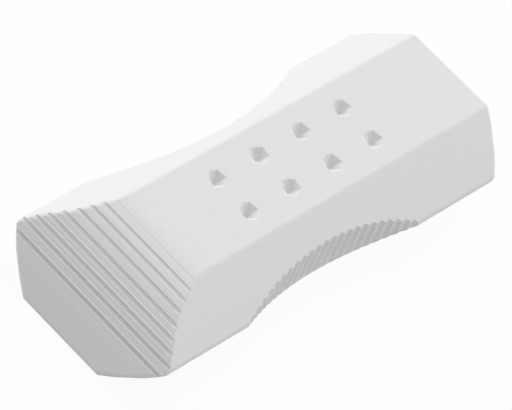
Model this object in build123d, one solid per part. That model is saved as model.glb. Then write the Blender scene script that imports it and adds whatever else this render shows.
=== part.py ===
"""Moulded block eraser: a slanted bar with rolled, ribbed ends, scoops for finger and thumb, and grip dimples.

The bar is one moulding of soft vinyl. Its ends, ribs and dimples come back on themselves when it is turned
over about its cross axis (Y), so either end can be the working end.
"""
from build123d import *
import math
import os

# Driving dimensions in millimetres. X runs along the bar, Z is up, and the resting face is at Z = 0.
LENGTH = 60.2            # from lip to lip
WIDTH = 25.25            # across the mid-height edges, before they are rounded
HEIGHT = 10.3            # between the two flat faces
FLAT_WIDTH = 12.4        # a flat face, from crease to crease
SIDE_BULGE = 0.25        # how far a sloped side bows out from its chord
END_OVERHANG = 2.85      # how far an end's lip stands out past its mid-height corner
ROLL_RADIUS = 13.6       # rounded back of a slanted end
EDGE_ROUND = 0.75        # rounding of every moulded edge

RIB_COUNT = 9            # ribs across each rolled end
RIB_START = 2.75         # from the start of the roll to the first rib, along the roll
RIB_WIDTH = 0.63
BROAD_WIDTH = 0.85       # of the broader ribs
BROAD_EVERY = 4          # every fourth rib is a broader one
RIB_GAP = 0.59           # groove between two ribs
RIB_RISE = 0.27          # height of a rib above the roll
RIB_ROUND = 0.18         # rounded upper shoulder of a rib
RIB_ROOT = 0.4           # how deep a rib is rooted in the bar
RIB_INSET = 0.45         # how far a rib's ends draw in from the bar's outline

SCOOP_RADIUS = 38.0      # hollow for a fingertip, seen from above
FINGER_DEPTH = 3.03      # fluted scoop on the -Y side, in from the mid-height edge
THUMB_DEPTH = 4.33       # plain scoop on the +Y side
FLUTE_PITCH = 1.25       # from flute to flute, along the scoop
FLUTE_RADIUS = 0.6
FLUTE_DEPTH = 0.28       # depth of the middle flute where it opens in the sloped side
FLUTE_FOOT = 2.6         # height at which the flutes have run out
FLUTE_MARGIN = 1.0       # least plain length of scoop at each end

DIMPLE_COLUMNS = 4       # dimples along a flat face
DIMPLE_ROWS = 2          # dimples across it
DIMPLE_PITCH = 6.9       # along the face
DIMPLE_SPREAD = 5.3      # across the face
DIMPLE_SHIFT = 3.6       # middle of the dimples, from mid length towards the lip
DIMPLE_RADIUS = 1.2      # to the corners of a dimple's mouth
DIMPLE_TIP = 0.1         # to the corners of its blunt tip
DIMPLE_DEPTH = 1.4
DIMPLE_SIDES = 8         # facets of a dimple
TURNED_COLUMN = 1        # the column whose dimples are turned by half a facet

MIDDLE = HEIGHT / 2
HALF_WIDTH = WIDTH / 2
SLANT = 2 * END_OVERHANG                        # run of a slanted end over the full height
END_ANGLE = math.atan2(HEIGHT, SLANT)           # slope of a slanted end, which the roll turns through
LIP_LOSS = EDGE_ROUND * (1 / math.tan(END_ANGLE / 2) - 1)    # what rounding takes off a sharp lip
HALF_LENGTH = LENGTH / 2 + LIP_LOSS             # to a lip before it is rounded
ROLL_REACH = ROLL_RADIUS * math.tan(END_ANGLE / 2)
ROLL_X = SLANT - HALF_LENGTH + ROLL_REACH       # where the flat top gives way to the roll


def turned_over(shape):
    """The shape after half a turn about the bar's cross axis."""
    return Pos(0, 0, MIDDLE) * Rot(0, 180, 0) * Pos(0, 0, -MIDDLE) * shape


def section():
    """Cross-section in the YZ plane: flat top and bottom, and bowed sides that meet at mid height."""
    flat = FLAT_WIDTH / 2
    outline = Curve() + [
        Line((-flat, HEIGHT), (flat, HEIGHT)),
        SagittaArc((flat, HEIGHT), (HALF_WIDTH, MIDDLE), SIDE_BULGE),
        SagittaArc((HALF_WIDTH, MIDDLE), (flat, 0), SIDE_BULGE),
        Line((flat, 0), (-flat, 0)),
        SagittaArc((-flat, 0), (-HALF_WIDTH, MIDDLE), SIDE_BULGE),
        SagittaArc((-HALF_WIDTH, MIDDLE), (-flat, HEIGHT), SIDE_BULGE),
    ]
    return make_face(outline)


def side_view():
    """Side view in the XZ plane: a slanted block with its two blunt corners rolled."""
    near_top = (SLANT - HALF_LENGTH, HEIGHT)
    far_bottom = (HALF_LENGTH - SLANT, 0)
    block = make_face(Polyline((-HALF_LENGTH, 0), far_bottom, (HALF_LENGTH, HEIGHT), near_top, close=True))
    corners = [block.vertices().sort_by_distance(corner)[0] for corner in (near_top, far_bottom)]
    return fillet(corners, ROLL_RADIUS)


def bar():
    """The plain bar: the side view cut by the cross-section, with every true edge rounded."""
    along = extrude(Plane.YZ * section(), amount=LENGTH, both=True)
    across = extrude(Plane.XZ * side_view(), amount=WIDTH, both=True)
    blank = along & across
    smooth_lines = blank.edges().filter_by(Axis.Y).sort_by(Axis.X)[1:-1]     # all but the two lips
    return fillet([edge for edge in blank.edges() if edge not in smooth_lines], EDGE_ROUND)


def ribs(blank):
    """The ribs that stand on the rolled near end of the plain bar and follow its rounded edges."""
    axis = Pos(ROLL_X, HEIGHT - ROLL_RADIUS)
    row = Sketch()
    reach = RIB_START
    for number in range(1, RIB_COUNT + 1):
        width = RIB_WIDTH if number % BROAD_EVERY else BROAD_WIDTH
        rib = Rectangle(width, RIB_RISE + RIB_ROOT, align=(Align.CENTER, Align.MAX))
        shoulder = rib.vertices().group_by(Axis.Y)[-1].sort_by(Axis.X)[-1]
        rib = fillet(shoulder, RIB_ROUND)
        turn = math.degrees((reach + width / 2) / ROLL_RADIUS)
        row += axis * Rot(0, 0, turn) * Pos(0, ROLL_RADIUS + RIB_RISE) * rib
        reach += width + RIB_GAP
    push = RIB_RISE / math.cos(END_ANGLE / 2)      # square to the roll's middle, to clear every rib's top
    pushed = Pos(-push * math.sin(END_ANGLE / 2), 0, push * math.cos(END_ANGLE / 2)) * blank
    between = Pos(0, RIB_INSET, 0) * pushed & Pos(0, -RIB_INSET, 0) * pushed
    return extrude(Plane.XZ * row, amount=WIDTH, both=True) & between


def scoop(depth):
    """Cutter for a scoop on the +Y side: an upright cylinder."""
    return extrude(Pos(0, HALF_WIDTH - depth + SCOOP_RADIUS) * Circle(SCOOP_RADIUS), amount=HEIGHT)


def flutes(depth):
    """Cutters for the flutes of a scoop on the +Y side: rods that lean into its wall and run out at their feet."""
    opening = MIDDLE + MIDDLE * depth / (HALF_WIDTH - FLAT_WIDTH / 2)
    lean = math.degrees(math.atan2(FLUTE_DEPTH, opening - FLUTE_FOOT))
    half_arc = SCOOP_RADIUS * math.acos(1 - depth / SCOOP_RADIUS)
    each_side = int((half_arc - FLUTE_MARGIN) / FLUTE_PITCH)
    step = math.degrees(FLUTE_PITCH / SCOOP_RADIUS)
    rod = Pos(0, FLUTE_RADIUS - SCOOP_RADIUS, FLUTE_FOOT) * Rot(lean, 0, 0) * Cylinder(FLUTE_RADIUS, 2 * HEIGHT)
    axis = Pos(0, HALF_WIDTH - depth + SCOOP_RADIUS)
    return [axis * Rot(0, 0, i * step) * rod for i in range(-each_side, each_side + 1)]


def pit(turn):
    """Cutter for one dimple: a flat-faced pit that hangs from the origin, turned by an angle."""
    def ring(radius, z):
        corner = Vector(radius, 0, z)
        return [corner.rotate(Axis.Z, turn + i * 360 / DIMPLE_SIDES) for i in range(DIMPLE_SIDES)]

    mouth = ring(DIMPLE_RADIUS, 0)
    tip = ring(DIMPLE_TIP, -DIMPLE_DEPTH)
    facets = [[mouth[i - 1], mouth[i], tip[i], tip[i - 1]] for i in range(DIMPLE_SIDES)]
    return Solid(Shell([Face(Wire.make_polygon(corners)) for corners in [mouth, tip, *facets]]))


def dimples():
    """Cutters for all the dimples of the top face."""
    cutters = []
    for place in GridLocations(DIMPLE_PITCH, DIMPLE_SPREAD, DIMPLE_COLUMNS, DIMPLE_ROWS):
        column = round(place.position.X / DIMPLE_PITCH + (DIMPLE_COLUMNS - 1) / 2)
        turn = 180 / DIMPLE_SIDES if column == TURNED_COLUMN else 0
        cutters.append(Pos(DIMPLE_SHIFT, 0, HEIGHT) * place * pit(turn))
    return cutters


def eraser_body():
    """The whole eraser: bar, ribs at both ends, a scoop on each side and dimples in both flat faces."""
    blank = bar()
    near_ribs = ribs(blank)
    body = blank + near_ribs + turned_over(near_ribs)
    body -= scoop(THUMB_DEPTH)
    body -= Rot(0, 0, 180) * scoop(FINGER_DEPTH)
    body -= [Rot(0, 0, 180) * rod for rod in flutes(FINGER_DEPTH)]
    for cutter in dimples():
        body -= cutter
        body -= turned_over(cutter)
    return body


os.makedirs("parts", exist_ok=True)
export_step(eraser_body(), "parts/eraser_body.step")
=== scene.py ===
# %% [markdown]
# # A white block eraser
# This lesson models a moulded block eraser. The exact solid comes first, as a fixed frame: it holds the
# real size and place, and nothing here may move it. We keep its box, to compare it with ours at the end.

import math

import bmesh
import bpy
from mathutils import Matrix, Vector


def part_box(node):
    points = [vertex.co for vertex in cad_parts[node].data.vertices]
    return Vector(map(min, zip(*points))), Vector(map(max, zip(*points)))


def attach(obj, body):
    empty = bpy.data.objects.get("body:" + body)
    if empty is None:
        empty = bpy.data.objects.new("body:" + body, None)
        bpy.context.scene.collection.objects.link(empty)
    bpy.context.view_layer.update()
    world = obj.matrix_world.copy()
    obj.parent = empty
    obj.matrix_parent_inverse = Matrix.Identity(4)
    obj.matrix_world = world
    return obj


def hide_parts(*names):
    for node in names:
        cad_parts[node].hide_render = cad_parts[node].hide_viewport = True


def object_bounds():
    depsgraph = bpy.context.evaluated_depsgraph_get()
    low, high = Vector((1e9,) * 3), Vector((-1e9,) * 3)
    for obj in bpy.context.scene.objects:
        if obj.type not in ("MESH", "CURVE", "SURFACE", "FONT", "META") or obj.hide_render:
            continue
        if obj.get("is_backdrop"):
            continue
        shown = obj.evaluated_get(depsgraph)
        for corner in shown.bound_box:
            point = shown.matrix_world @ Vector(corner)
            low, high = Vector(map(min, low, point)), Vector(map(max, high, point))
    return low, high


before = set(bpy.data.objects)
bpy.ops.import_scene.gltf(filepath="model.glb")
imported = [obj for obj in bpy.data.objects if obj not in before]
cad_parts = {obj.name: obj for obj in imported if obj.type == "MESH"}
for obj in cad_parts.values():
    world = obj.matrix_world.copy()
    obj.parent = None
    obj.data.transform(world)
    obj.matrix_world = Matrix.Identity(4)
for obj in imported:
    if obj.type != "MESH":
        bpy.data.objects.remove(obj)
cad_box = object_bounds()
print("frame:", sorted(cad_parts))

# %% [markdown]
# ## Sizes
# An eraser like this is pressed in a steel mould, in one piece. The frame gives its length and height, and
# we plan the rest in millimetres: X runs along the bar, Y across it and Z up. Seen from the side the bar is
# a slanted block, and the blunt corner of each slanted end is rolled into a long curve. Seen from the end
# it is flat above and below, and its bowed sides meet in an edge at mid height.

# %% Sizes of the bar
MM = 0.001                       # Blender works in metres

low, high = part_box("eraser_body")
LENGTH = (high.x - low.x) / MM   # from lip to lip
HEIGHT = (high.z - low.z) / MM
WIDTH = 25.33                    # across the mid-height edges, before they are rounded
FLAT_WIDTH = 12.4                # a flat face, from crease to crease
SIDE_BULGE = 0.25                # how far a side bows out from its chord
SLANT = 5.7                      # run of a slanted end over the full height
ROLL_RADIUS = 13.6               # rolled corner of a slanted end
EDGE_ROUND = 0.75
WIDEST_ROUND = 0.8               # a rounding takes no more than this off each side of a keen edge
LIP_LOSS = 0.45                  # what rounding takes off the length of a sharp lip

MIDDLE = HEIGHT / 2
CENTRE = Vector((0, 0, MIDDLE))
END_ANGLE = math.atan2(HEIGHT, SLANT)
HALF_LENGTH = LENGTH / 2 + LIP_LOSS
ROLL_AXIS = Vector((SLANT - HALF_LENGTH + ROLL_RADIUS * math.tan(END_ANGLE / 2), 0, HEIGHT - ROLL_RADIUS))
print("length %.1f mm, height %.1f mm" % (LENGTH, HEIGHT))
print("slanted ends at %.0f degrees" % math.degrees(END_ANGLE))

# %% [markdown]
# ## Carving the bar
# We carve the bar from a block with a straight knife, so every cut is a plane. A curve is a row of narrow
# cuts whose corners lie on it. The cuts of the rolls and of the bowed sides share some heights, so their
# corners meet, and the edges between them can be rounded cleanly later.

# %% Knife
SLACK = 1e-4                     # a corner this close to a cut counts as on it


def shave(bm, a, b, axis):
    """Slices off what lies outside the plane through a and b along an axis, and closes the cut."""
    outward = (b - a).cross(axis)
    if outward.dot(a - CENTRE) < 0:
        outward.negate()
    everything = bm.verts[:] + bm.edges[:] + bm.faces[:]
    cut = bmesh.ops.bisect_plane(bm, geom=everything, dist=SLACK, plane_co=a, plane_no=outward,
                                 clear_outer=True)
    rim = [part for part in cut["geom_cut"] if isinstance(part, bmesh.types.BMEdge)]
    bmesh.ops.edgeloop_fill(bm, edges=rim)


def turn_over(bm):
    """Turns the bar over about its cross axis, so that each end is worked in turn."""
    bmesh.ops.rotate(bm, cent=CENTRE, matrix=Matrix.Rotation(math.pi, 3, "Y"), verts=bm.verts)


def turn_round(bm):
    """Turns the bar round on the table, so that its other side faces +Y."""
    bmesh.ops.rotate(bm, cent=CENTRE, matrix=Matrix.Rotation(math.pi, 3, "Z"), verts=bm.verts)


# %% Block
SPARE = 5                        # what the block has to spare on each side

eraser = bmesh.new()
bmesh.ops.create_cube(eraser, size=1)
bmesh.ops.scale(eraser, vec=(LENGTH + 2 * SPARE, WIDTH + 2 * SPARE, HEIGHT), verts=eraser.verts)
bmesh.ops.translate(eraser, vec=CENTRE, verts=eraser.verts)

# %% Rolled and slanted ends
UPPER_CUTS = 16                  # cuts of a roll above the sides' shared heights
MIDDLE_CUTS = 4                  # and in each of the two stretches about mid height


def on_roll(turn):
    """Point of the near end's roll, by how far it has turned from the flat top."""
    return ROLL_AXIS + Vector((-math.sin(turn), 0, math.cos(turn))) * ROLL_RADIUS


def turn_at(z):
    """How far the roll has turned at a height."""
    return math.acos((z - ROLL_AXIS.z) / ROLL_RADIUS)


def steps(start, end, count):
    """Evenly spaced values, without the last."""
    return [start + (end - start) * i / count for i in range(count)]


last_row = HEIGHT - on_roll(END_ANGLE).z         # as high as the other end's roll leaves off
turns = steps(0, turn_at(last_row), UPPER_CUTS)
turns += steps(turn_at(last_row), turn_at(MIDDLE), MIDDLE_CUTS)
turns += steps(turn_at(MIDDLE), END_ANGLE, MIDDLE_CUTS) + [END_ANGLE]
corners = [on_roll(turn) for turn in turns] + [Vector((-HALF_LENGTH, 0, 0))]
ACROSS = Vector((0, 1, 0))
for end in range(2):
    for a, b in zip(corners, corners[1:]):
        shave(eraser, a, b, ACROSS)
    turn_over(eraser)
print("ends cut:", len(eraser.faces), "faces")

# %% Bowed sides
ROW_SPACING = 8                  # a side's cuts meet every eighth corner of the roll
JOIN = 0.002                     # corners closer than this are one


def on_side(z):
    """Point of the bowed upper side, by its height."""
    crease, edge = Vector((0, FLAT_WIDTH / 2, HEIGHT)), Vector((0, WIDTH / 2, MIDDLE))
    chord = edge - crease
    radius = (chord.length ** 2 / 4 + SIDE_BULGE ** 2) / (2 * SIDE_BULGE)
    outward = Vector((0, -chord.z, chord.y)).normalized()
    centre = (crease + edge) / 2 + outward * (SIDE_BULGE - radius)
    return Vector((0, centre.y + math.sqrt(radius ** 2 - (z - centre.z) ** 2), z))


heights = [on_roll(turn).z for turn in turns[ROW_SPACING:UPPER_CUTS + 1:ROW_SPACING]]
rows = [on_side(z) for z in [HEIGHT] + heights + [MIDDLE]]
ALONG = Vector((1, 0, 0))
for turned in (turn_over, turn_round, turn_over, turn_round):
    for a, b in zip(rows, rows[1:]):
        shave(eraser, a, b, ALONG)
    turned(eraser)
bmesh.ops.remove_doubles(eraser, verts=eraser.verts, dist=JOIN)
print("sides cut:", len(eraser.faces), "faces, closed:", all(edge.is_manifold for edge in eraser.edges))

# %% [markdown]
# ## Softer edges
# Vinyl never fills a mould's corners quite sharply, and it wears. The Bevel modifier rounds each edge by
# its own weight: the width of a rounding grows with how far the surface turns over the edge, so that all
# have one radius.

# %% Rounded edges
ROUND_STEPS = 5
CREASE = math.radians(15)        # an edge that turns less is part of a curve
KINDS = 4                        # kinds of face, each with a number, so that later steps can find it
BODY, RIB, DIMPLE, SCOOP = range(KINDS)


def modified(bm, kind, **settings):
    """Passes a mesh through one modifier."""
    mesh = bpy.data.meshes.new("work")
    bm.to_mesh(mesh)
    for kind_of_face in range(KINDS):
        mesh.materials.append(None)
    holder = bpy.data.objects.new("work", mesh)
    bpy.context.scene.collection.objects.link(holder)
    modifier = holder.modifiers.new(kind, kind)
    for name, value in settings.items():
        setattr(modifier, name, value)
    bm.clear()
    bm.from_object(holder, bpy.context.evaluated_depsgraph_get())
    bpy.data.objects.remove(holder)
    bpy.data.meshes.remove(mesh)


weight = eraser.edges.layers.float.new("bevel_weight_edge")
for edge in eraser.edges:
    turn = edge.calc_face_angle()
    if turn > CREASE:
        edge[weight] = min(EDGE_ROUND * math.tan(turn / 2) / WIDEST_ROUND, 1)
modified(eraser, "BEVEL", limit_method="WEIGHT", width=WIDEST_ROUND, segments=ROUND_STEPS,
         use_clamp_overlap=False)
print("rounded:", len(eraser.faces), "faces, closed:", all(edge.is_manifold for edge in eraser.edges))

# %% [markdown]
# ## Cutting tools
# The details are cut with Booleans, each with a cutter modelled for it. The faces that a cutter leaves get
# a number of their own, so that a small bevel can soften the rim of a cut, where they meet other faces.

# %% Cutting tools
RIM_TURN = math.radians(20)      # a rim that turns more than this is rounded
TINY = 0.03                      # corners closer than this are joined


def cut_out(bm, cutter, kind):
    """Takes the cutter out of the mesh and numbers the faces that it leaves."""
    bmesh.ops.recalc_face_normals(cutter, faces=cutter.faces)
    for face in cutter.faces:
        face.material_index = kind
    mesh = bpy.data.meshes.new("cutter")
    cutter.to_mesh(mesh)
    cutter.free()
    for kind_of_face in range(KINDS):
        mesh.materials.append(None)
    tool = bpy.data.objects.new("cutter", mesh)
    bpy.context.scene.collection.objects.link(tool)
    modified(bm, "BOOLEAN", object=tool, operation="DIFFERENCE", solver="EXACT")
    bpy.data.objects.remove(tool)
    bpy.data.meshes.remove(mesh)


def soften(bm, kind, width):
    """Joins the cut's tiniest edges and rounds its rim, where one kind of face meets another."""
    corners = {vert for face in bm.faces if face.material_index == kind for vert in face.verts}
    bmesh.ops.remove_doubles(bm, verts=list(corners), dist=TINY)
    bmesh.ops.dissolve_degenerate(bm, edges=bm.edges, dist=TINY / 10)
    bm.normal_update()
    rim = [edge for edge in bm.edges if edge.calc_face_angle() > RIM_TURN
           and [face.material_index for face in edge.link_faces].count(kind) == 1]
    bmesh.ops.bevel(bm, geom=rim, offset=width, segments=2, profile=0.5, affect="EDGES", clamp_overlap=False,
                    loop_slide=False, material=-1)


# %% [markdown]
# ## Ribs
# Nine ribs run across each roll, for rubbing in tight lines. They are what straight grooves leave standing,
# so we cut the grooves. A groove's outline is drawn flat, as lengths along the roll and heights above it,
# with a broad rounding where the next rib begins, and then bent round the roll and extruded across the bar.
# The lower ribs are also dished a little, which leaves a lip along their lower edge.

# %% Groove outline
GROOVE_ENDS = (3.82, 5.1, 6.4, 7.78, 9.1, 10.26, 11.48, 12.94)     # where each groove ends, along the roll
GROOVE_WIDTH = 0.38
FIRST_DEPTH = 0.2                # of the highest groove
LAST_DEPTH = 0.38                # and of the lowest, with an even change between them
FINE_LINES = (2.44, 13.52)       # ends of two fine lines, above and below the ribs
LINE_WIDTH = 0.1
LINE_DEPTH = 0.05
UPPER_ROUND = 0.18               # rounding of a rib's upper edge
LOWER_ROUND = 0.06
DRAFT = 0.03                     # lean of a groove's walls
ROUNDING_STEPS = 4
ABOVE = 0.5                      # how far the cutter stands out of the roll


def wall(depth, rounding):
    """Points of a groove's wall from its floor to the roll: how far out from the wall, and how high."""
    fall = min(rounding, depth)
    points = [(-DRAFT, -depth)]
    for turn in steps(0, math.pi / 2, ROUNDING_STEPS) + [math.pi / 2]:
        points.append((rounding * (1 - math.cos(turn)), fall * (math.sin(turn) - 1)))
    return points + [(rounding, ABOVE)]


def groove_outline(end, width, depth):
    """Outline of a groove: lengths along the roll, and heights above it."""
    outline = [(end + out, height) for out, height in wall(depth, UPPER_ROUND)]
    lower_wall = reversed(wall(depth, min(LOWER_ROUND, depth / 2)))
    return outline + [(end - width - out, height) for out, height in lower_wall]


# %% Dished ribs
FIRST_DISHED = 3                 # the first dished rib lies below this groove, counted from 0
DISH_DEPTH = 0.08
LIP = 0.13                       # slope up to the lip that is left along a dished rib's lower edge
LAND = 0.03                      # flat left between a dish and the grooves


def dish_outline(upper_groove, lower_groove):
    """Outline of a rib's dished face, by the ends of the grooves above and below it."""
    start = upper_groove + UPPER_ROUND + LAND
    end = lower_groove - GROOVE_WIDTH - LOWER_ROUND - LAND
    return [(end, ABOVE), (end, 0), (end - LIP, -DISH_DEPTH), (start, 0), (start, ABOVE)]


# %% Cut the grooves
def groove_cutter():
    """Bars that cut all the grooves and dished ribs of the near end."""
    deeper = (LAST_DEPTH - FIRST_DEPTH) / (len(GROOVE_ENDS) - 1)
    depths = [FIRST_DEPTH + deeper * i for i in range(len(GROOVE_ENDS))]
    outlines = [groove_outline(end, GROOVE_WIDTH, depth) for end, depth in zip(GROOVE_ENDS, depths)]
    outlines += [groove_outline(end, LINE_WIDTH, LINE_DEPTH) for end in FINE_LINES]
    dished = GROOVE_ENDS[FIRST_DISHED:]
    outlines += [dish_outline(above, below) for above, below in zip(dished, dished[1:])]
    bm = bmesh.new()
    for outline in outlines:
        corners = []
        for reach, height in outline:
            turn = reach / ROLL_RADIUS
            corners.append(ROLL_AXIS + Vector((-math.sin(turn), 0, math.cos(turn))) * (ROLL_RADIUS + height))
        section = bm.faces.new([bm.verts.new(corner - ACROSS * WIDTH) for corner in corners])
        far_end = bmesh.ops.extrude_face_region(bm, geom=[section], use_keep_orig=True)["geom"]
        far_corners = [part for part in far_end if isinstance(part, bmesh.types.BMVert)]
        bmesh.ops.translate(bm, vec=ACROSS * 2 * WIDTH, verts=far_corners)
    return bm


for end in range(2):
    cut_out(eraser, groove_cutter(), RIB)
    turn_over(eraser)
print("ribbed:", len(eraser.faces), "faces, closed:", all(edge.is_manifold for edge in eraser.edges))

# %% [markdown]
# ## Dimples
# Eight pits in each flat face give the fingers some grip. Each is a shallow pyramid whose facets are not
# quite even, as if the tool for it was filed by hand, and the pits of one column are turned a little. All
# eight pyramids of a face make one cutter, and the rims are softened.

# %% Cut the dimples
DIMPLE_COLUMNS = 4
DIMPLE_ROWS = 2
DIMPLE_PITCH = 6.9               # along the face
DIMPLE_SPREAD = 5.3              # across the face
DIMPLE_SHIFT = 3.6               # middle of the dimples, from mid length towards the lip
DIMPLE_DEPTH = 1.15
# heading of each corner of a dimple's mouth, in degrees, and how far it is from the tip
DIMPLE_CORNERS = ((79, 1.13), (40, 1.36), (-22, 1.41), (-79, 1.48), (-137, 1.37), (-200, 1.2), (-240, 1.12))
TIP_SHIFT = Vector((-0.2, 0.1, 0))                       # of a dimple's tip, from its place in the grid
TURNED_COLUMN = 1
COLUMN_TURN = -21
DIMPLE_ROUND = 0.09
CLEARANCE = 1.0                  # how far a cutter reaches past what it cuts


def dimple_cutter():
    """Pyramids for all the dimples of the top face."""
    bm = bmesh.new()
    widen = 1 + CLEARANCE / DIMPLE_DEPTH
    for column in range(DIMPLE_COLUMNS):
        turn = COLUMN_TURN if column == TURNED_COLUMN else 0
        for row in range(DIMPLE_ROWS):
            middle = Vector((DIMPLE_SHIFT + (column - (DIMPLE_COLUMNS - 1) / 2) * DIMPLE_PITCH,
                             (row - (DIMPLE_ROWS - 1) / 2) * DIMPLE_SPREAD, HEIGHT))
            corners = [Vector((0, 0, -DIMPLE_DEPTH))]
            for heading, reach in DIMPLE_CORNERS:
                way, out = math.radians(heading + turn), reach * widen
                corners.append(Vector((math.cos(way) * out, math.sin(way) * out, CLEARANCE)))
            verts = [bm.verts.new(middle + TIP_SHIFT + corner) for corner in corners]
            bmesh.ops.convex_hull(bm, input=verts)
    return bm


for face_up in range(2):
    cut_out(eraser, dimple_cutter(), DIMPLE)
    turn_over(eraser)
soften(eraser, DIMPLE, DIMPLE_ROUND)
print("dimpled:", len(eraser.faces), "faces, closed:", all(edge.is_manifold for edge in eraser.edges))

# %% [markdown]
# ## Finger scoops
# Thumb and finger hold the eraser in two hollows, and upright flutes in the finger's one keep it from
# slipping. One flute is a short arc of vertices, and a spin about the axis of the scoop repeats it. The row
# is extruded downwards and its lower end pulled back to the plain scoop, so that the flutes run out towards
# their feet. A Boolean takes the finished cutter out of the bar, and a small bevel softens the rim.

# %% Row of flutes
SCOOP_RADIUS = 38.0
FLUTE_PITCH = 1.25
FLUTE_LAND = 0.2                 # crest left between two flutes
FLUTE_STEPS = 6
UP = Vector((0, 0, 1))


def corner_of(parts):
    """The one vertex among some parts of a mesh."""
    return next(part for part in parts if isinstance(part, bmesh.types.BMVert))


def flute_row(bm, axis, each_side, flute_depth):
    """A row of flutes about the axis of a scoop."""
    half_chord = (FLUTE_PITCH - FLUTE_LAND) / 2
    half_turn = math.asin(half_chord / SCOOP_RADIUS)
    pitch_turn = FLUTE_PITCH / SCOOP_RADIUS
    first = -each_side * pitch_turn
    sagitta = flute_depth + SCOOP_RADIUS * (1 - math.cos(half_turn))
    flute_radius = (half_chord ** 2 + sagitta ** 2) / (2 * sagitta)

    def outward(turn):
        return Vector((math.sin(turn), -math.cos(turn), 0))

    flute_axis = axis + outward(first) * (SCOOP_RADIUS + flute_depth - flute_radius)
    start = bmesh.ops.create_vert(bm, co=axis + outward(first - half_turn) * SCOOP_RADIUS)["vert"]
    arc = bmesh.ops.spin(bm, geom=start, cent=flute_axis, axis=UP, steps=FLUTE_STEPS,
                         angle=2 * math.asin(half_chord / flute_radius))
    bmesh.ops.spin(bm, geom=[corner_of(arc["geom_last"])], cent=axis, axis=UP, steps=1,
                   angle=pitch_turn - 2 * half_turn)
    bmesh.ops.spin(bm, geom=bm.verts[:] + bm.edges[:], cent=axis, axis=UP, steps=2 * each_side,
                   use_duplicate=True, angle=2 * each_side * pitch_turn)
    bmesh.ops.remove_doubles(bm, verts=bm.verts, dist=JOIN)


# %% Scoop cutter
FLUTE_MARGIN = 1.0               # least plain length of scoop at each end
FLUTE_FOOT = 4.6                 # height below which the flutes run out
RUNOUT_STEPS = 4                 # of the plain scoop at each end of the flutes


def moved(bm, parts, way):
    """Moves the vertices among some parts of a mesh."""
    verts = [part for part in parts if isinstance(part, bmesh.types.BMVert)]
    bmesh.ops.translate(bm, vec=way, verts=verts)
    return verts


def scoop_cutter(depth, flute_depth):
    """Cutter for the scoop on the +Y side, with flutes of a given depth that run out at its foot."""
    bm = bmesh.new()
    axis = Vector((0, WIDTH / 2 - depth + SCOOP_RADIUS, HEIGHT + CLEARANCE))
    half_scoop = math.acos(1 - depth / SCOOP_RADIUS)
    each_side = int((half_scoop * SCOOP_RADIUS - FLUTE_MARGIN) / FLUTE_PITCH)
    flute_row(bm, axis, each_side, flute_depth)
    left, right = sorted((vert for vert in bm.verts if len(vert.link_edges) == 1), key=lambda vert: vert.co.x)
    runout = half_scoop * (1 + CLEARANCE / depth) - each_side * FLUTE_PITCH / SCOOP_RADIUS
    bmesh.ops.spin(bm, geom=[left], cent=axis, axis=UP, steps=RUNOUT_STEPS, angle=-runout)
    bmesh.ops.spin(bm, geom=[right], cent=axis, axis=UP, steps=RUNOUT_STEPS, angle=runout)

    rim = MIDDLE * (1 - depth / (WIDTH / 2 - FLAT_WIDTH / 2))      # how low the scoop reaches
    foot = rim - CLEARANCE / 2
    upper = bmesh.ops.extrude_edge_only(bm, edges=bm.edges[:])["geom"]
    moved(bm, upper, UP * (FLUTE_FOOT - axis.z))
    ring = [part for part in upper if isinstance(part, bmesh.types.BMEdge)]
    lower = bmesh.ops.extrude_edge_only(bm, edges=ring)["geom"]
    for vert in moved(bm, lower, UP * (foot - FLUTE_FOOT)):
        arm = (vert.co - axis) * Vector((1, 1, 0))
        vert.co -= arm.normalized() * max(arm.length - SCOOP_RADIUS, 0)
    moved(bm, bmesh.ops.extrude_face_region(bm, geom=bm.faces[:])["geom"], (0, 2 * depth, 0))
    print("scoop %.2f mm deep: room for %d flutes" % (depth, 2 * each_side + 1))
    return bm


# %% Cut the scoops
FINGER_DEPTH = 3.03              # in from the mid-height edge
THUMB_DEPTH = 4.33
FLUTE_DEPTH = 0.24               # of the finger's flutes
RIM_ROUND = 0.04

for depth, flute_depth in ((THUMB_DEPTH, 0), (FINGER_DEPTH, FLUTE_DEPTH)):
    cut_out(eraser, scoop_cutter(depth, flute_depth), SCOOP)
    turn_round(eraser)
soften(eraser, SCOOP, RIM_ROUND)
print("scooped:", len(eraser.faces), "faces, closed:", all(edge.is_manifold for edge in eraser.edges))

# %% [markdown]
# ## Vinyl
# An eraser is soft white vinyl with a powdery, matt skin. A fine grain gives it a slightly uneven tint and
# surface.

# %% Vinyl material
GRAIN_SIZE = 0.25                # millimetres
GRAIN_HEIGHT = 0.03
DARK_TINT = (0.76, 0.76, 0.757, 1)
PALE_TINT = (0.85, 0.85, 0.847, 1)


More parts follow.
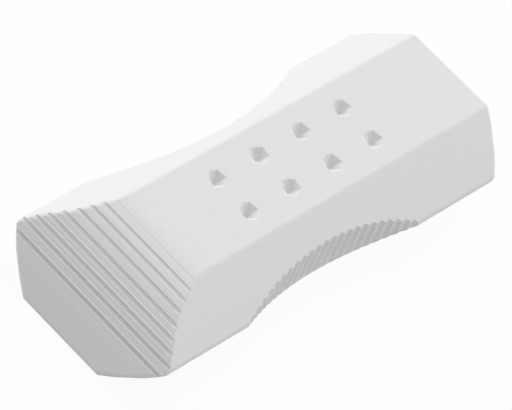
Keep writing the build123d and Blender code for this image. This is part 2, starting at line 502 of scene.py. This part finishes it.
def vinyl():
    """Matt white vinyl with a fine moulded grain."""
    material = bpy.data.materials.new("white_vinyl_finish")
    material.use_nodes = True
    nodes, links = material.node_tree.nodes, material.node_tree.links
    shader = nodes["Principled BSDF"]
    place = nodes.new("ShaderNodeTexCoord")

    grain = nodes.new("ShaderNodeTexNoise")
    grain.inputs["Scale"].default_value = 1 / (GRAIN_SIZE * MM)
    grain.inputs["Detail"].default_value = 4
    links.new(place.outputs["Object"], grain.inputs["Vector"])

    tint = nodes.new("ShaderNodeMixRGB")
    tint.inputs["Color1"].default_value = DARK_TINT
    tint.inputs["Color2"].default_value = PALE_TINT
    links.new(grain.outputs["Fac"], tint.inputs["Fac"])
    links.new(tint.outputs["Color"], shader.inputs["Base Color"])

    bump = nodes.new("ShaderNodeBump")
    bump.inputs["Strength"].default_value = 0.15
    bump.inputs["Distance"].default_value = GRAIN_HEIGHT * MM
    links.new(grain.outputs["Fac"], bump.inputs["Height"])
    links.new(bump.outputs["Normal"], shader.inputs["Normal"])

    shader.inputs["Roughness"].default_value = 0.6
    shader.inputs["IOR"].default_value = 1.45
    shader.inputs["Specular IOR Level"].default_value = 0.3
    return material


# %% [markdown]
# ## One moulding
# The finished mesh goes from millimetres to metres and becomes one object, which takes the place of the
# plain solid. It is shaded smoothly, but not across the edges of the grooves and other sharp turns, and the
# Weighted Normal modifier keeps the broad faces flat beside their narrow roundings.

# %% Finished eraser
SHARP = math.radians(35)         # an edge that turns more stays sharp
FACET = math.radians(12)         # and so does one that turns more than this between facets of a dimple

for edge in eraser.edges:
    in_dimple = all(face.material_index == DIMPLE for face in edge.link_faces)
    edge.smooth = edge.calc_face_angle() < (FACET if in_dimple else SHARP)
for face in eraser.faces:
    face.smooth = True
    face.material_index = BODY
bmesh.ops.scale(eraser, vec=(MM, MM, MM), verts=eraser.verts)
moulding_mesh = bpy.data.meshes.new("eraser_moulding")
eraser.to_mesh(moulding_mesh)
eraser.free()
moulding_mesh.materials.clear()
moulding_mesh.materials.append(vinyl())
moulding = bpy.data.objects.new("eraser_moulding", moulding_mesh)
bpy.context.scene.collection.objects.link(moulding)
smoother = moulding.modifiers.new("flat_faces", "WEIGHTED_NORMAL")
smoother.keep_sharp = True
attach(moulding, "root")
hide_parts("eraser_body")
print("moulding:", len(moulding_mesh.polygons), "faces")

# %% [markdown]
# ## Stage
# The photograph's ground is plain white. A white sheet would throw so much light back that the shaded end
# and the flutes would wash out, so the sheet here is light grey to the light that the eraser gets from it.
# To the camera, and in anything shiny or clear, it is white and mostly shines by itself, with a small share
# of true paper that keeps the shadow.

# %% Floor
FLOOR_SIZE = 6.0                 # metres
BOUNCE = (0.68, 0.68, 0.68, 1)   # the sheet's colour to the light it throws back
PAPER = (0.95, 0.95, 0.95, 1)    # and to the camera
OWN_SHINE = 0.93                 # share of the sheet's brightness that no shadow can touch


def seen(nodes, links):
    """One for rays from the camera, also by way of a shiny or clear surface, and zero for the rest."""
    rays = nodes.new("ShaderNodeLightPath")
    value = rays.outputs["Is Camera Ray"]
    for kind in ("Is Glossy Ray", "Is Transmission Ray"):
        either = nodes.new("ShaderNodeMath")
        either.operation = "MAXIMUM"
        links.new(value, either.inputs[0])
        links.new(rays.outputs[kind], either.inputs[1])
        value = either.outputs["Value"]
    return value


def paper():
    """Paper that is white to the camera and grey to the light it throws back."""
    material = bpy.data.materials.new("white_paper")
    material.use_nodes = True
    nodes, links = material.node_tree.nodes, material.node_tree.links
    nodes.remove(nodes["Principled BSDF"])
    in_view = seen(nodes, links)

    shade = nodes.new("ShaderNodeMixRGB")
    shade.inputs["Color1"].default_value = BOUNCE
    shade.inputs["Color2"].default_value = PAPER
    links.new(in_view, shade.inputs["Fac"])
    matt = nodes.new("ShaderNodeBsdfDiffuse")
    links.new(shade.outputs["Color"], matt.inputs["Color"])

    share = nodes.new("ShaderNodeMath")
    share.operation = "MULTIPLY"
    share.inputs[1].default_value = OWN_SHINE
    links.new(in_view, share.inputs[0])
    bright = nodes.new("ShaderNodeEmission")
    mix = nodes.new("ShaderNodeMixShader")
    links.new(share.outputs["Value"], mix.inputs["Fac"])
    links.new(matt.outputs["BSDF"], mix.inputs[1])
    links.new(bright.outputs["Emission"], mix.inputs[2])
    links.new(mix.outputs["Shader"], nodes["Material Output"].inputs["Surface"])
    return material


sheet = bmesh.new()
bmesh.ops.create_grid(sheet, x_segments=1, y_segments=1, size=FLOOR_SIZE / 2)
floor_mesh = bpy.data.meshes.new("floor")
sheet.to_mesh(floor_mesh)
sheet.free()
floor_mesh.materials.append(paper())
floor = bpy.data.objects.new("floor", floor_mesh)
bpy.context.scene.collection.objects.link(floor)
floor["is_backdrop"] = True

# %% [markdown]
# ## Light
# The photograph's light is soft, but it has directions. The left side is the brightest and the ribbed end
# the darkest, each rib has a bright upper edge below a shaded groove, and the far facets of the dimples are
# dark. So a pale sky lights everything evenly, one softbox stands low behind the eraser, one hangs over it,
# a strong one is low on its left and a weak one low on its right.

# %% Sky
SKY = 0.505                      # strength of the even light

world = bpy.data.worlds.new("studio")
world.use_nodes = True
bpy.context.scene.world = world
sky_nodes, sky_links = world.node_tree.nodes, world.node_tree.links
sky = sky_nodes["Background"]
sky.inputs["Color"].default_value = (1, 1, 1, 1)
sky.inputs["Strength"].default_value = SKY
backdrop = sky_nodes.new("ShaderNodeBackground")
backdrop.inputs["Color"].default_value = (1, 1, 1, 1)
sky_mix = sky_nodes.new("ShaderNodeMixShader")
sky_links.new(seen(sky_nodes, sky_links), sky_mix.inputs["Fac"])
sky_links.new(sky.outputs["Background"], sky_mix.inputs[1])
sky_links.new(backdrop.outputs["Background"], sky_mix.inputs[2])
sky_links.new(sky_mix.outputs["Shader"], sky_nodes["World Output"].inputs["Surface"])


# %% Softboxes
BOX_SIZE = 1.25                  # metres
BOX_DISTANCE = 2


def softbox(name, heading, rise, watts):
    """A big round lamp that faces the eraser. Headings turn from +X towards +Y."""
    lamp = bpy.data.lights.new(name, "AREA")
    lamp.shape = "DISK"
    lamp.size = BOX_SIZE
    lamp.energy = watts
    stand = bpy.data.objects.new(name, lamp)
    turn, tilt = math.radians(heading), math.radians(rise)
    direction = Vector((math.cos(turn) * math.cos(tilt), math.sin(turn) * math.cos(tilt), math.sin(tilt)))
    stand.location = direction * BOX_DISTANCE
    stand.rotation_euler = direction.to_track_quat("Z", "Y").to_euler()
    bpy.context.scene.collection.objects.link(stand)


softbox("back_light", heading=0, rise=28, watts=11)
softbox("top_light", heading=10, rise=65, watts=6.6)
softbox("left_light", heading=90, rise=15, watts=20)
softbox("right_light", heading=-50, rise=15, watts=5.2)

# %% [markdown]
# ## Camera
# The photograph looks down on the ribbed end through a long lens, with the camera turned on its own axis.

# %% Camera
AZIMUTH = math.radians(-63.76)       # round the eraser, from the view along +Y
ELEVATION = math.radians(46.12)
ROLL = math.radians(25.67)           # the camera was turned on its own axis
AIM = Vector((-1.08, -0.25, 5.15)) * MM
DISTANCE = 560.2 * MM
IMAGE_WIDTH = 512                    # pixels
FOCAL_PIXELS = 5000                  # focal length in pixels: a long lens, with hardly any perspective

camera = bpy.data.cameras.new("camera")
camera.sensor_width = 36             # millimetres
camera.lens = FOCAL_PIXELS / IMAGE_WIDTH * camera.sensor_width
viewer = bpy.data.objects.new("camera", camera)
level = math.cos(ELEVATION)
back = Vector((math.sin(AZIMUTH) * level, -math.cos(AZIMUTH) * level, math.sin(ELEVATION)))
upright = back.to_track_quat("Z", "Y").to_matrix()
rolled = upright @ Matrix.Rotation(ROLL, 3, "Z")
viewer.matrix_world = Matrix.Translation(AIM + back * DISTANCE) @ rolled.to_4x4()
bpy.context.scene.collection.objects.link(viewer)
bpy.context.scene.camera = viewer
bpy.context.scene.view_settings.view_transform = "Standard"

# %% [markdown]
# ## Sizes
# Last, both boxes are kept, to see how closely the moulding fills the frame.

# %% Compare the boxes
visual_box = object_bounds()
for name, box in (("frame", cad_box), ("moulding", visual_box)):
    print(name, "box in mm", [[round(value / MM, 2) for value in corner] for corner in box])
